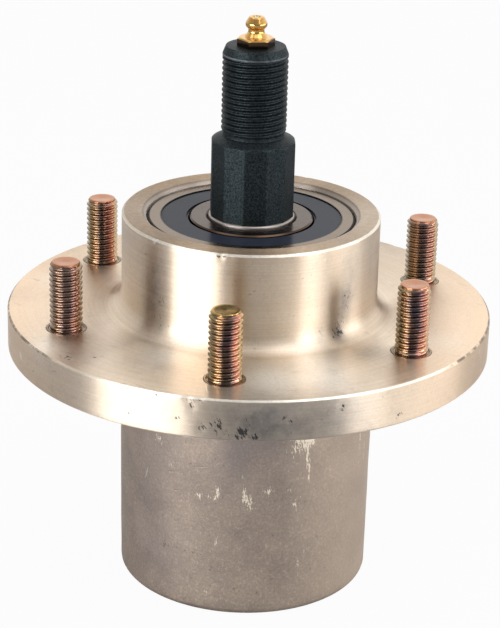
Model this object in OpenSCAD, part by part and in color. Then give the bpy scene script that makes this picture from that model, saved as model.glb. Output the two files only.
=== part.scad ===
// Mower deck spindle: a flanged aluminium housing with six press-in studs, two sealed ball
// bearings with a spacer between them, a steel shaft and a grease fitting in the shaft's end.
// The origin is the centre of the barrel's bottom rim, and +Z runs up along the shaft.

/* [Housing] */
// Height from the barrel's rim to the hub's top face
housing_h = 114; // [106:0.5:130]
// Diameter of the turned hub above the flange
hub_d = 76.2; // [75:0.1:80]
// Chamfer round the hub's top edge
hub_chamfer = 0.6; // [0.2:0.1:2]
// Diameter of the flange
flange_d = 143.6; // [138:0.1:160]
// Height of the flange's top face above the rim
flange_top = 85; // [78:0.5:88]
// Thickness of the flange
flange_t = 12; // [8:0.5:14]
// Chamfer round both edges of the flange
flange_chamfer = 0.5; // [0.2:0.1:2]
// Radius of the fillet between the hub and the flange
hub_fillet = 5; // [2:0.5:6]
// Radius of the fillet under the flange
barrel_fillet = 3; // [1:0.5:4]
// Diameter of the cast barrel just under the flange
barrel_d = 76.5; // [75:0.1:80]
// Diameter of the cast barrel at its rim, less the draft
barrel_rim_d = 75.8; // [74:0.1:76.4]
// Rounding of the barrel's outer bottom edge
rim_round = 2; // [0.5:0.1:3]
// Diameter of the cored bore between the two bearings
core_d = 55; // [50:0.5:57]

/* [Studs] */
// Number of studs round the flange
stud_count = 6; // [3:1:8]
// Diameter of the circle that the studs stand on
stud_circle_d = 115; // [108:0.5:118]
// Diameter of the threaded shank
stud_d = 9.525; // [8:0.005:10]
// Height of the studs above the flange
stud_h = 20.4; // [12:0.1:40]
// Diameter of the ribbed collar pressed into the flange
stud_collar_d = 11.8; // [11:0.1:13]
// Height of the cone from the collar up to the thread
stud_cone_h = 0.6; // [0.4:0.1:3]
// Diameter of the round head under the flange
stud_head_d = 15; // [13:0.5:18]
// Thickness of that head
stud_head_t = 3.2; // [2:0.1:5]
// Length of the chamfer at the stud's end
stud_end_chamfer = 1.3; // [0.5:0.1:2]

/* [Bearings] */
// Bore of the bearings
bearing_bore = 25.4; // [25.4:0.1:26]
// Outer diameter of the bearings
bearing_od = 62; // [62:0.1:63]
// Width of the bearings
bearing_w = 17; // [17:0.5:20]
// Depth of the upper bearing's face below the hub's top face
bearing_recess = 1.3; // [0.5:0.1:3]
// Height of the lower bearing's face above the rim
lower_recess = 14; // [13:0.5:16]
// Number of balls in each bearing
ball_count = 7; // [5:1:7]
// Diameter of the balls
ball_d = 11.5; // [10:0.1:11.5]
// Diameter of the circle that the balls run on
ball_circle_d = 44.6; // [44:0.1:45]
// Diameter over the inner race's lands
inner_land_d = 36.3; // [35:0.1:37]
// Diameter inside the outer race's lands
outer_land_d = 52.4; // [52:0.1:53]
// Outer diameter of the seal, as it shows in the bearing's face
seal_d = 53.2; // [52.8:0.1:53.4]

/* [Shaft] */
// Length of the shaft above the hub's top face
shaft_out = 50; // [40:0.5:70]
// Height of the twelve-sided drive section above the hub's top face
drive_h = 23.6; // [18:0.1:30]
// Number of flats on the drive section
drive_flats = 12; // [6:1:12]
// Distance across the flats of the drive section
drive_af = 24.06; // [21:0.01:24.2]
// Diameter that the drive section's corners are turned to
drive_d = 24.85; // [22:0.05:25]
// Radius that rounds the top of the drive section
drive_round = 3; // [1:0.1:3]
// Angle at which the drive section stands
drive_turn = -5; // [-15:1:15]
// Major diameter of the thread above the drive section
thread_d = 19; // [16:0.05:20]
// Diameter of the neck under the thread
neck_d = 17.9; // [14:0.1:18]
// Length of the chamfer at the shaft's upper end
shaft_end_chamfer = 1.9; // [1:0.1:3]
// Diameter of the collar under the lower bearing
shaft_collar_d = 35; // [30:0.5:36]
// Thickness of that collar
shaft_collar_t = 5; // [3:0.5:6]
// Diameter of the tapped hole for the blade bolt
blade_hole_d = 11.4; // [8:0.1:14]
// Depth of that tapped hole
blade_hole_l = 36; // [20:1:40]
// Diameter of the drilled grease way
grease_way_d = 3.2; // [2.8:0.1:4]
// Diameter of the hole drilled across it
cross_hole_d = 2.6; // [1:0.1:2.7]

/* [Grease fitting] */
// Width across the flats of the fitting's hexagon
fitting_af = 9.525; // [8:0.005:11]
// Angle at which the hexagon stands
fitting_turn = 14; // [-30:1:30]
// Height of the hexagon
fitting_hex_h = 2.5; // [2:0.1:4]
// Height of the whole fitting above the shaft's end
fitting_h = 8.4; // [8:0.1:10]
// Diameter of the fitting's ball-shaped head
fitting_head_d = 6.2; // [6:0.1:6.6]
// Diameter of the neck under that head
fitting_neck_d = 4.9; // [4.6:0.1:5.2]
// Diameter of the check ball
check_ball_d = 2.4; // [2:0.1:2.4]

/* [Hidden] */

round_fn = 96;
fine_fn = 48;
cut = 1;

// Fits: a pressed or slid joint, a rolling contact, and the bite of the studs' ribs.
seat_gap = 0.01;
rolling_gap = 0.05;
rib_bite = 0.05;

// Heights of the main pieces above the rim.
flange_bottom = flange_top - flange_t;
upper_z = housing_h - bearing_recess - bearing_w;
lower_z = lower_recess;
upper_face = upper_z + bearing_w;
spacer_z = lower_z + bearing_w;
core_mid = (spacer_z + upper_z) / 2;
shaft_top = housing_h + shaft_out;
drive_top = housing_h + drive_h;

// Retaining ring in the barrel, under the lower bearing.
ring_t = 2;
ring_groove_w = 2.15;
ring_groove_d = bearing_od + 3;
ring_gap_angle = 34;
ring_lug_d = 6.4;
ring_lug_hole_d = 2.5;

// Mouth of each bearing bore.
mouth_chamfer = 1.2;

// Outer surface of the drafted barrel at height z.
function barrel_r(z) = (barrel_rim_d + (barrel_d - barrel_rim_d) * z / flange_bottom) / 2;

// A square corner filled with a concave fillet: the corner is at the origin, the fillet opens
// towards +x and towards +y, or -y where down is true.
module fillet_2d(r, down = false) {
    mirror([0, down ? 1 : 0]) difference() {
        square(r);
        translate([r, r]) circle(r = r, $fn = fine_fn);
    }
}

// Half of the housing's section, with the shaft's axis along y.
module housing_section() {
    hub_r = hub_d / 2;
    flange_r = flange_d / 2;
    bore_r = bearing_od / 2 + seat_gap;
    rim_x = barrel_r(rim_round) - rim_round;
    difference() {
        union() {
            polygon([
                [0, 0], [rim_x, 0], [rim_x, rim_round], [barrel_r(rim_round), rim_round],
                [barrel_r(flange_bottom), flange_bottom],
                [flange_r - flange_chamfer, flange_bottom], [flange_r, flange_bottom + flange_chamfer],
                [flange_r, flange_top - flange_chamfer], [flange_r - flange_chamfer, flange_top],
                [hub_r, flange_top], [hub_r, housing_h - hub_chamfer],
                [hub_r - hub_chamfer, housing_h], [0, housing_h]
            ]);
            translate([rim_x, rim_round]) circle(r = rim_round, $fn = fine_fn);
            translate([hub_r, flange_top]) fillet_2d(hub_fillet);
            translate([barrel_r(flange_bottom), flange_bottom]) fillet_2d(barrel_fillet, down = true);
        }
        // Cored bore, the two bearing seats and their chamfered mouths
        translate([0, -cut]) square([core_d / 2, housing_h + 2 * cut]);
        translate([0, -cut]) square([bore_r, spacer_z + cut]);
        translate([0, upper_z]) square([bore_r, housing_h]);
        polygon([[0, 0], [bore_r + mouth_chamfer, 0], [bore_r, mouth_chamfer], [0, mouth_chamfer]]);
        translate([0, housing_h]) polygon([
            [0, 0], [bore_r + mouth_chamfer, 0], [bore_r, -mouth_chamfer], [0, -mouth_chamfer]
        ]);
        // Groove for the retaining ring
        translate([0, lower_z - ring_groove_w]) square([ring_groove_d / 2, ring_groove_w]);
    }
}

// Repeats its children on the stud circle.
module on_stud_circle() {
    for (i = [0 : stud_count - 1])
        rotate(i * 360 / stud_count - 90) translate([stud_circle_d / 2, 0]) children();
}

// Aluminium casting: barrel, flange and hub in one, bored for the bearings and drilled for the studs.
module housing() {
    color("silver") difference() {
        rotate_extrude($fn = round_fn) housing_section();
        on_stud_circle() translate([0, 0, flange_bottom - cut])
            cylinder(d = stud_collar_d - 2 * rib_bite, h = flange_t + 2 * cut, $fn = fine_fn);
    }
}

// One stud from its head under the flange to its chamfered end.
module stud() {
    shank_r = stud_d / 2;
    head_r = stud_head_d / 2;
    collar_r = stud_collar_d / 2;
    head_edge = 0.5;
    end_z = flange_top + stud_h;
    end_r = shank_r - 0.85;
    dish_r = end_r - 0.6;
    dish_depth = 0.25;
    collar_edge = 2 * rib_bite;
    rotate_extrude($fn = fine_fn) polygon([
        [0, flange_bottom - stud_head_t],
        [head_r - head_edge, flange_bottom - stud_head_t],
        [head_r, flange_bottom - stud_head_t + head_edge],
        [head_r, flange_bottom], [collar_r, flange_bottom], [collar_r, flange_top - collar_edge],
        [collar_r - collar_edge, flange_top], [shank_r, flange_top + stud_cone_h],
        [shank_r, end_z - stud_end_chamfer],
        [end_r, end_z], [dish_r, end_z], [0, end_z - dish_depth]
    ]);
}

// Zinc-plated steel studs, pressed in from below, pointing up through the deck.
module mounting_studs() {
    color("goldenrod") on_stud_circle() stud();
}

// Ball bearing, drawn from its open face at z = 0 to its sealed face at z = bearing_w.
ball_r = ball_d / 2;
track_r = ball_circle_d / 2;
groove_r = ball_r * 1.04;
race_corner = 1;
seal_t = 1.1;
seal_recess = 0.3;
seal_bead_t = 0.6;
seal_bead_r = seal_d / 2 + 0.5;
seal_lip_gap = 0.5;
land_chamfer = 0.4;

// Annular square section between two radii and two heights.
module section(r0, r1, z0, z1) {
    translate([r0, z0]) square([r1 - r0, z1 - z0]);
}

module outer_race() {
    outer_r = bearing_od / 2;
    land_r = outer_land_d / 2;
    seat_r = seal_d / 2 + rolling_gap;
    bead_top = bearing_w - seal_recess - seal_bead_t;
    rotate_extrude($fn = round_fn) difference() {
        polygon([
            [land_r, 0], [outer_r - race_corner, 0], [outer_r, race_corner],
            [outer_r, bearing_w - race_corner], [outer_r - race_corner, bearing_w], [land_r, bearing_w]
        ]);
        section(0, seat_r, bearing_w - seal_recess - seal_t - rolling_gap, bearing_w + cut);
        section(0, seal_bead_r + rolling_gap, bead_top - rolling_gap, bead_top + seal_bead_t);
        translate([track_r + ball_r + rolling_gap - groove_r, bearing_w / 2])
            circle(r = groove_r, $fn = fine_fn);
    }
}

module inner_race() {
    bore_r = bearing_bore / 2;
    land_r = inner_land_d / 2;
    bore_chamfer = 0.8;
    rotate_extrude($fn = round_fn) difference() {
        polygon([
            [bore_r, bore_chamfer], [bore_r + bore_chamfer, 0], [land_r - land_chamfer, 0],
            [land_r, land_chamfer], [land_r, bearing_w - land_chamfer],
            [land_r - land_chamfer, bearing_w], [bore_r + bore_chamfer, bearing_w],
            [bore_r, bearing_w - bore_chamfer]
        ]);
        translate([track_r - ball_r - rolling_gap + groove_r, bearing_w / 2])
            circle(r = groove_r, $fn = fine_fn);
    }
}

// Places its children at each ball, or half a pitch on where between is true.
module at_balls(between = false) {
    step = 360 / ball_count;
    for (i = [0 : ball_count - 1])
        rotate((i + (between ? 0.5 : 0)) * step) translate([track_r, 0, bearing_w / 2]) children();
}

module balls() {
    at_balls() sphere(r = ball_r, $fn = fine_fn);
}

// Pressed-steel ribbon cage: two halves cupped over the balls and riveted between them.
cage_t = 0.9;
cage_w = 5.2;
pocket_r = ball_r + 0.15;
dome_lift = 0.1;
rivet_d = 1.8;
rivet_head_d = 3.2;
rivet_head_h = 0.6;

// Shell over one ball, almost a half sphere, with its rim within the web's thickness.
module pocket_dome() {
    rotate_extrude($fn = fine_fn) difference() {
        intersection() {
            circle(r = pocket_r + cage_t, $fn = fine_fn);
            translate([0, dome_lift]) square(pocket_r + cage_t);
        }
        circle(r = pocket_r, $fn = fine_fn);
    }
}

// The half above the balls' centres; turned over, it is the half below.
module cage_half() {
    inner_r = track_r - cage_w / 2;
    outer_r = track_r + cage_w / 2;
    middle = bearing_w / 2;
    difference() {
        union() {
            difference() {
                rotate_extrude($fn = round_fn) section(inner_r, outer_r, middle, middle + cage_t);
                at_balls() cylinder(r = pocket_r + cage_t / 2, h = bearing_w, center = true, $fn = fine_fn);
            }
            intersection() {
                at_balls() pocket_dome();
                rotate_extrude($fn = round_fn) section(inner_r, outer_r, middle - cut, bearing_w);
            }
        }
        at_balls(between = true)
            cylinder(d = rivet_d + 2 * rolling_gap, h = bearing_w, center = true, $fn = fine_fn / 2);
    }
}

// Turns the sealed face down and the open face up, within the bearing's own width.
module turned_over() {
    translate([0, 0, bearing_w]) mirror([0, 0, 1]) children();
}

// Dome of a rivet head, standing on z = 0.
module rivet_head() {
    base_r = rivet_head_d / 2;
    dome_r = (base_r * base_r + rivet_head_h * rivet_head_h) / (2 * rivet_head_h);
    intersection() {
        translate([0, 0, rivet_head_h - dome_r]) sphere(r = dome_r, $fn = fine_fn);
        cylinder(r = base_r, h = rivet_head_h, $fn = fine_fn / 2);
    }
}

module cage_rivets() {
    at_balls(between = true) {
        cylinder(d = rivet_d, h = 2 * cage_t, center = true, $fn = fine_fn / 2);
        translate([0, 0, cage_t]) rivet_head();
        translate([0, 0, -cage_t]) mirror([0, 0, 1]) rivet_head();
    }
}

// Rubber-faced seal: its bead snaps into the outer race, its lip stays clear of the inner one.
module seal() {
    lip_r = inner_land_d / 2 + seal_lip_gap;
    top = bearing_w - seal_recess;
    lip_t = 0.5;
    rotate_extrude($fn = round_fn) {
        section(lip_r + lip_t, seal_d / 2, top - seal_t, top);
        section(lip_r, lip_r + 2 * lip_t, top - seal_t, top - lip_t);
        section(seal_d / 2 - lip_t, seal_bead_r, top - seal_bead_t, top - seal_bead_t / 4);
    }
}

// The upper bearing has its sealed face up, the lower one has it down.
module in_upper_seat() {
    translate([0, 0, upper_z]) children();
}

module in_lower_seat() {
    translate([0, 0, lower_z]) turned_over() children();
}

module upper_outer_race() { color("tan") in_upper_seat() outer_race(); }
module upper_inner_race() { color("tan") in_upper_seat() inner_race(); }
module upper_balls() { color("gainsboro") in_upper_seat() balls(); }
module upper_cage_top() { color("khaki") in_upper_seat() cage_half(); }
module upper_cage_bottom() { color("khaki") in_upper_seat() turned_over() cage_half(); }
module upper_cage_rivets() { color("gray") in_upper_seat() cage_rivets(); }
module upper_seal() { color("slategray") in_upper_seat() seal(); }
module lower_outer_race() { color("tan") in_lower_seat() outer_race(); }
module lower_inner_race() { color("tan") in_lower_seat() inner_race(); }
module lower_balls() { color("gainsboro") in_lower_seat() balls(); }
module lower_cage_top() { color("khaki") in_lower_seat() turned_over() cage_half(); }
module lower_cage_bottom() { color("khaki") in_lower_seat() cage_half(); }
module lower_cage_rivets() { color("gray") in_lower_seat() cage_rivets(); }
module lower_seal() { color("slategray") in_lower_seat() seal(); }

// Spring-steel ring in the barrel's groove, open between two drilled lugs.
module retaining_ring() {
    outer_r = ring_groove_d / 2 - rolling_gap;
    band = 4;
    band_offset = 1;
    lug_r = outer_r - ring_lug_d / 2 - 1.8;
    color("dimgray") translate([0, 0, lower_z - ring_t]) difference() {
        union() {
            difference() {
                cylinder(r = outer_r, h = ring_t, $fn = round_fn);
                translate([band_offset, 0, -cut])
                    cylinder(r = outer_r - band, h = ring_t + 2 * cut, $fn = round_fn);
                translate([0, 0, -cut]) linear_extrude(ring_t + 2 * cut) polygon([
                    [0, 0],
                    2 * outer_r * [cos(ring_gap_angle / 2), sin(ring_gap_angle / 2)],
                    2 * outer_r * [cos(ring_gap_angle / 2), -sin(ring_gap_angle / 2)]
                ]);
            }
            for (side = [-1, 1])
                rotate(side * ring_gap_angle / 2) translate([lug_r, 0])
                    cylinder(d = ring_lug_d, h = ring_t, $fn = fine_fn);
        }
        for (side = [-1, 1])
            rotate(side * ring_gap_angle / 2) translate([lug_r, 0, -cut])
                cylinder(d = ring_lug_hole_d, h = ring_t + 2 * cut, $fn = fine_fn);
    }
}

// Shaft: sizes that follow from its neighbours.
journal_r = bearing_bore / 2 - seat_gap;
journal_top = upper_face + 0.8;
journal_chamfer = 0.4;
spigot_low = 2;
collar_low = lower_z - shaft_collar_t;
cross_hole_z = core_mid;
grease_way_end = 2;
fitting_hole_d = 6.4;
fitting_hole_l = 8;

// Steel shaft in one piece: spigot and collar for the blade, journal, drive section and thread.
module spindle_shaft() {
    thread_r = thread_d / 2;
    neck_r = neck_d / 2;
    neck_h = 1;
    drive_r = drive_d / 2;
    corner_r = drive_af / 2 / cos(180 / drive_flats);
    end_chamfer_r = 0.9;
    spigot_chamfer = 1;
    color("darkslategray") difference() {
        union() {
            rotate_extrude($fn = round_fn) polygon([
                [0, spigot_low], [journal_r - spigot_chamfer, spigot_low],
                [journal_r, spigot_low + spigot_chamfer], [journal_r, collar_low],
                [shaft_collar_d / 2, collar_low], [shaft_collar_d / 2, lower_z],
                [journal_r, lower_z], [journal_r, journal_top - journal_chamfer],
                [journal_r - journal_chamfer, journal_top], [neck_r, journal_top],
                [neck_r, drive_top + neck_h], [thread_r, drive_top + neck_h + (thread_r - neck_r)],
                [thread_r, shaft_top - shaft_end_chamfer],
                [thread_r - end_chamfer_r, shaft_top], [0, shaft_top]
            ]);
            // Twelve flats, cut back to a rounded top by a turned outline
            intersection() {
                translate([0, 0, journal_top]) rotate(drive_turn)
                    cylinder(r = corner_r, h = drive_top - journal_top, $fn = drive_flats);
                rotate_extrude($fn = round_fn) {
                    translate([0, journal_top]) square([drive_r, drive_top - drive_round - journal_top]);
                    translate([0, journal_top]) square([drive_r - drive_round, drive_top - journal_top]);
                    translate([drive_r - drive_round, drive_top - drive_round])
                        circle(r = drive_round, $fn = fine_fn);
                }
            }
        }
        // Tapped hole for the blade bolt
        translate([0, 0, spigot_low - cut])
            cylinder(d = blade_hole_d, h = blade_hole_l + cut, $fn = fine_fn);
        // Tapped hole for the grease fitting, and the grease way down to the cross hole
        translate([0, 0, shaft_top - fitting_hole_l])
            cylinder(d = fitting_hole_d, h = fitting_hole_l + cut, $fn = fine_fn);
        translate([0, 0, cross_hole_z - grease_way_end])
            cylinder(d = grease_way_d, h = shaft_top - cross_hole_z, $fn = fine_fn);
        translate([0, 0, cross_hole_z]) rotate([0, 90, 45])
            cylinder(d = cross_hole_d, h = bearing_od, center = true, $fn = fine_fn);
    }
}

// Tube that holds the two inner races apart, drilled to let the grease out.
module bearing_spacer() {
    spacer_od = inner_land_d - 2.4;
    spacer_id = bearing_bore + 1;
    spacer_hole_d = 5;
    color("gray") difference() {
        translate([0, 0, spacer_z]) cylinder(d = spacer_od, h = upper_z - spacer_z, $fn = round_fn);
        translate([0, 0, spacer_z - cut])
            cylinder(d = spacer_id, h = upper_z - spacer_z + 2 * cut, $fn = round_fn);
        translate([0, 0, cross_hole_z]) rotate([0, 90, 45])
            cylinder(d = spacer_hole_d, h = bearing_od, center = true, $fn = fine_fn);
    }
}

// Grease fitting: heights above the shaft's end, and the bore for the ball and spring.
fitting_top = shaft_top + fitting_h;
fitting_shank_l = 6;
fitting_bore_r = check_ball_d / 2 + 0.1;
fitting_foot_r = 0.8;
fitting_foot_t = 3;
fitting_mouth_r = check_ball_d / 2 - 0.25;
fitting_lip_t = 0.5;
ball_seat_drop = sqrt(pow(check_ball_d / 2, 2) - pow(fitting_mouth_r, 2));
check_ball_z = fitting_top - fitting_lip_t - ball_seat_drop - rolling_gap;
spring_low = shaft_top - fitting_shank_l + fitting_foot_t;
spring_high = check_ball_z - check_ball_d / 2 - rolling_gap;

// Plated steel body: screwed shank, hexagon, flared neck and a head for the grease gun.
module grease_fitting() {
    hex_r = fitting_af / 2 / cos(30);
    head_r = fitting_head_d / 2;
    neck_r = fitting_neck_d / 2;
    hex_top = shaft_top + fitting_hex_h;
    hex_bevel = 0.9;
    flare_r = neck_r + 0.8;
    flare_h = 1.2;
    head_z = fitting_top - 2.1;
    crown_r = head_r - 1;
    color("gold") difference() {
        union() {
            translate([0, 0, shaft_top - fitting_shank_l])
                cylinder(d = fitting_hole_d - 2 * rolling_gap, h = fitting_shank_l, $fn = fine_fn);
            intersection() {
                translate([0, 0, shaft_top]) rotate(fitting_turn)
                    cylinder(r = hex_r, h = fitting_hex_h, $fn = 6);
                translate([0, 0, shaft_top]) rotate_extrude($fn = round_fn) polygon([
                    [0, 0], [hex_r + cut, 0], [hex_r + cut, fitting_hex_h - (hex_bevel + cut) / 2],
                    [hex_r - hex_bevel, fitting_hex_h], [0, fitting_hex_h]
                ]);
            }
            rotate_extrude($fn = fine_fn) {
                polygon([
                    [0, hex_top], [flare_r, hex_top], [neck_r, hex_top + flare_h],
                    [neck_r, head_z - 1.2], [head_r, head_z - 0.2], [head_r, head_z + 0.2],
                    [crown_r, fitting_top], [0, fitting_top]
                ]);
            }
        }
        // Bore with the spring's foot below and the ball's seat above
        translate([0, 0, shaft_top - fitting_shank_l - cut])
            cylinder(r = fitting_foot_r, h = fitting_h, $fn = fine_fn);
        translate([0, 0, spring_low])
            cylinder(r = fitting_bore_r, h = fitting_top - fitting_lip_t - spring_low, $fn = fine_fn);
        translate([0, 0, fitting_top - cut])
            cylinder(r = fitting_mouth_r, h = 2 * cut, $fn = fine_fn);
    }
}

// Ball that closes the fitting's mouth until a gun pushes it down.
module grease_check_ball() {
    color("gainsboro") translate([0, 0, check_ball_z]) sphere(d = check_ball_d, $fn = fine_fn);
}

// Coil spring under the ball, swept as a wire of a few sides along a helix.
spring_wire_r = 0.15;
spring_r = check_ball_d / 2 - 0.2;
spring_turns = 9;
spring_steps = 14;
spring_sides = 6;

function spring_point(i, k) =
    let (
        rings = spring_turns * spring_steps,
        turn = i * 360 / spring_steps,
        side = k * 360 / spring_sides,
        low = spring_low + spring_wire_r,
        high = spring_high - spring_wire_r,
        reach = spring_r + spring_wire_r * cos(side)
    )
    [reach * cos(turn), reach * sin(turn), low + (high - low) * i / rings + spring_wire_r * sin(side)];

module grease_check_spring() {
    rings = spring_turns * spring_steps;
    points = [for (i = [0 : rings]) for (k = [0 : spring_sides - 1]) spring_point(i, k)];
    first_cap = [[for (k = [0 : spring_sides - 1]) k]];
    last_cap = [[for (k = [spring_sides - 1 : -1 : 0]) rings * spring_sides + k]];
    walls = [
        for (i = [0 : rings - 1]) for (k = [0 : spring_sides - 1])
            let (a = i * spring_sides + k, b = i * spring_sides + (k + 1) % spring_sides)
            [a, a + spring_sides, b + spring_sides, b]
    ];
    color("gray") polyhedron(points = points, faces = concat(first_cap, last_cap, walls));
}

housing();
mounting_studs();
upper_outer_race();
upper_inner_race();
upper_balls();
upper_cage_top();
upper_cage_bottom();
upper_cage_rivets();
upper_seal();
lower_outer_race();
lower_inner_race();
lower_balls();
lower_cage_top();
lower_cage_bottom();
lower_cage_rivets();
lower_seal();
retaining_ring();
spindle_shaft();
bearing_spacer();
grease_fitting();
grease_check_ball();
grease_check_spring();
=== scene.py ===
import math

import bpy
import numpy as np
from mathutils import Matrix, Vector


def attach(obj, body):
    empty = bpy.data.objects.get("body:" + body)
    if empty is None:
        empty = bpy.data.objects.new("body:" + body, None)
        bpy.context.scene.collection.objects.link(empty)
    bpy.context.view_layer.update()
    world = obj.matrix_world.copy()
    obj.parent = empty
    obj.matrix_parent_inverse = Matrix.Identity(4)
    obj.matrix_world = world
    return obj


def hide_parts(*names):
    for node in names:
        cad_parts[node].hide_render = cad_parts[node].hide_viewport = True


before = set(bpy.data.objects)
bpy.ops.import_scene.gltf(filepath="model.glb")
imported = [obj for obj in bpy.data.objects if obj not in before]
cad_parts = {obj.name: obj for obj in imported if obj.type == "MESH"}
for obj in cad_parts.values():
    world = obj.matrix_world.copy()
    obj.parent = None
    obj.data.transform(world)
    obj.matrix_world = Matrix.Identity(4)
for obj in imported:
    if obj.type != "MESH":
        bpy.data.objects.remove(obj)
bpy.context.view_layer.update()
MM = 0.001

# Camera: stands where the photograph was taken from, a little to the right of the front stud,
# 618 mm from the middle of the hub's top face. Three small turns frame the picture.
eye_distance = 618.04 * MM
eye_elevation = 0.331203
eye_azimuth = math.radians(6.11)
aim_height = 114 * MM
aim_pan, aim_tilt, aim_roll = -0.00063, -0.048964, -0.027162
lens_mm = 120.3

eye = Vector((0, -math.cos(eye_elevation), math.sin(eye_elevation))) * eye_distance
forward = -eye.normalized()
right = forward.cross(Vector((0, 0, 1))).normalized()
up = right.cross(forward)
pan = Matrix.Rotation(aim_pan, 3, up)
forward, right = pan @ forward, pan @ right
tilt = Matrix.Rotation(aim_tilt, 3, right)
forward, up = tilt @ forward, tilt @ up
roll = Matrix.Rotation(aim_roll, 3, forward)
right, up = roll @ right, roll @ up

camera_data = bpy.data.cameras.new("camera")
camera_data.lens = lens_mm
camera_data.sensor_width = 36
camera_data.clip_start = 0.01
camera = bpy.data.objects.new("camera", camera_data)
axes = Matrix((right, up, -forward)).transposed().to_4x4()
camera.matrix_world = (
    Matrix.Translation((0, 0, aim_height))
    @ Matrix.Rotation(eye_azimuth, 4, "Z")
    @ Matrix.Translation(eye)
    @ axes
)
bpy.context.scene.collection.objects.link(camera)
bpy.context.scene.camera = camera
bpy.context.scene.view_settings.view_transform = "Standard"


# Floor and studio light: a plain pale floor, six soft boxes round the part and a soft sky that is
# brighter behind it. To the camera, and a little in bright metal, floor and sky go to white.
floor_reach = 4.0
floor_colour = (0.34, 0.35, 0.38, 1)
floor_lift = 0.96
sky_front, sky_back = 0.08, 1.42
sky_colour = (1, 0.985, 0.965, 1)
bright_side = (0.3, 0.95, 0.1)
seen_in_metal = 0.1
box_distance = 1.3
# Each soft box: azimuth and elevation in degrees, width, height and radiance
soft_boxes = {
    "left": (-41, 7, 1.0, 0.45, 12.5),
    "right": (60, 7, 0.45, 0.45, 6.8),
    "far_right": (94, 8, 0.95, 0.5, 3.7),
    "high_left": (-62, 58, 0.6, 0.6, 1.8),
    "high_right": (65, 58, 0.7, 0.7, 2.4),
    "high_front": (12, 60, 0.9, 0.35, 1.3),
}


def add(tree, kind, inputs=None, **settings):
    """Adds a shader node; inputs gives a socket, by name or number, a value or another's output."""
    made = tree.nodes.new("ShaderNode" + kind)
    for name, value in settings.items():
        setattr(made, name, value)
    for socket, value in (inputs or {}).items():
        if isinstance(value, bpy.types.NodeSocket):
            tree.links.new(value, made.inputs[socket])
        else:
            made.inputs[socket].default_value = value
    return made


def maths(tree, operation, *values):
    """Output of a Math node on one to three values."""
    return add(tree, "Math", dict(enumerate(values)), operation=operation).outputs[0]


def times(tree, first, second):
    """One value times another."""
    return maths(tree, "MULTIPLY", first, second)


def seen_as_white(tree):
    """One where the camera looks straight at it, and a part of that by way of metal or glass."""
    rays = add(tree, "LightPath").outputs
    mirrored = maths(tree, "MAXIMUM", rays["Is Glossy Ray"], rays["Is Transmission Ray"])
    return maths(tree, "MAXIMUM", rays["Is Camera Ray"], times(tree, mirrored, seen_in_metal))


floor_mesh = bpy.data.meshes.new("floor")
floor_mesh.from_pydata(
    [(floor_reach * x, floor_reach * y, 0) for x, y in ((-1, -1), (1, -1), (1, 1), (-1, 1))],
    [],
    [(0, 1, 2, 3)],
)
floor = bpy.data.objects.new("floor", floor_mesh)
bpy.context.scene.collection.objects.link(floor)
floor_paint = bpy.data.materials.new("pale_floor")
floor_paint.use_nodes = True
tree = floor_paint.node_tree
matt = add(tree, "BsdfDiffuse", {"Color": floor_colour})
white = add(tree, "Emission", {"Color": (1, 1, 1, 1), "Strength": 1.0})
lifted = times(tree, seen_as_white(tree), floor_lift)
mixed = add(tree, "MixShader", {0: lifted, 1: matt.outputs[0], 2: white.outputs[0]})
tree.nodes.remove(tree.nodes["Principled BSDF"])
tree.links.new(mixed.outputs[0], tree.nodes["Material Output"].inputs["Surface"])
floor_mesh.materials.append(floor_paint)

sky = bpy.data.worlds.new("sky")
sky.use_nodes = True
bpy.context.scene.world = sky
tree = sky.node_tree
looking = add(tree, "TexCoord").outputs["Generated"]
backwards = add(tree, "VectorMath", {0: looking, 1: bright_side}, operation="DOT_PRODUCT").outputs["Value"]
soft = add(tree, "MapRange", {"Value": backwards, 1: -1.0, 2: 1.0, 3: sky_front, 4: sky_back})
whitened = add(tree, "Mix", {0: seen_as_white(tree), 2: soft.outputs[0], 3: 1.0}, data_type="FLOAT")
tree.links.new(whitened.outputs[0], tree.nodes["Background"].inputs["Strength"])
tree.nodes["Background"].inputs["Color"].default_value = sky_colour


def soft_box(name, azimuth, elevation, width, height, radiance):
    """Area light at an azimuth from -Y towards +X, aimed at the hub; power is pi x area x radiance."""
    turn, rise = math.radians(azimuth), math.radians(elevation)
    away = Vector((math.sin(turn) * math.cos(rise), -math.cos(turn) * math.cos(rise), math.sin(rise)))
    lamp = bpy.data.lights.new(name, "AREA")
    lamp.shape = "RECTANGLE"
    lamp.size, lamp.size_y = width, height
    lamp.energy = math.pi * width * height * radiance
    box = bpy.data.objects.new(name, lamp)
    box.matrix_world = (
        Matrix.Translation(away * box_distance + Vector((0, 0, aim_height)))
        @ away.to_track_quat("Z", "Y").to_matrix().to_4x4()
    )
    box.visible_camera = False
    bpy.context.scene.collection.objects.link(box)


for side, measures in soft_boxes.items():
    soft_box("soft_box_" + side, *measures)


# Housing: one aluminium casting. The barrel is left as cast; the hub and the flange are turned
# on a lathe, bored for the bearings and drilled for the studs, then knocked about in handling.
columns = 480
flange_r, flange_low, flange_high, flange_chamfer = 71.8, 73.0, 85.0, 0.5
hub_r, hub_top, hub_chamfer = 38.1, 114.0, 0.6
rim_r, rim_round, barrel_r, barrel_fillet, hub_fillet = 37.9, 2.0, 38.25, 3.0, 5.0
seat_r, core_r, mouth_chamfer = 31.01, 27.5, 1.2
mouth_r = seat_r + mouth_chamfer
upper_seat_low, lower_seat_high = 95.7, 31
groove_r, groove_low, groove_high = 32.5, 11.85, 14
stud_hole_r = 5.9
stud_circle_r = 57.5
stud_angles = np.radians(-90 + 60 * np.arange(6))
sharp_over = 24
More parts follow.
